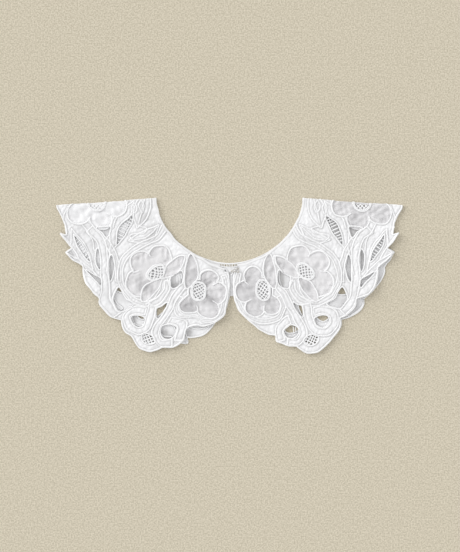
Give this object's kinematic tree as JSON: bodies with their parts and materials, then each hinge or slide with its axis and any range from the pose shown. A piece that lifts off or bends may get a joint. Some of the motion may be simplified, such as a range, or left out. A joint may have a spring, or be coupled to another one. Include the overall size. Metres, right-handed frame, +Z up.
{
  "type": "lace collar",
  "caption": "Detachable white cutwork lace collar with sheer flower insets, folded at the shoulders and laid flat, its fronts over its back, with a thread loop and hook at the neck.",
  "frame": {"origin": "under the middle of the folded collar's outline, on the surface it lies on", "axes": "+X across the collar towards the wearer's left front as seen here on the right, +Y from the hem towards the shoulder folds, +Z up out of the cloth"},
  "size_m": [0.3458, 0.1557, 0.0048],
  "materials": {
    "cotton": "matt white cotton with satin-stitched cords",
    "organdy": "sheer crisp organdy",
    "binding": "matt cotton tape",
    "thread": "buttonhole-stitched white thread",
    "hook_wire": "dulled pale wire"
  },
  "bodies": {
    "root": {"front_right": "cotton", "front_left": "cotton", "back": "cotton", "petals_opening_front_right": "organdy", "petals_middle_front_right": "organdy", "petals_shoulder_front_right": "organdy", "petals_opening_front_left": "organdy", "petals_middle_front_left": "organdy", "petals_shoulder_front_left": "organdy", "neck_binding_front_right": "binding", "neck_binding_front_left": "binding", "neck_binding_back": "binding", "thread_loop": "thread", "hook": "hook_wire"}
  },
  "joints": []
}
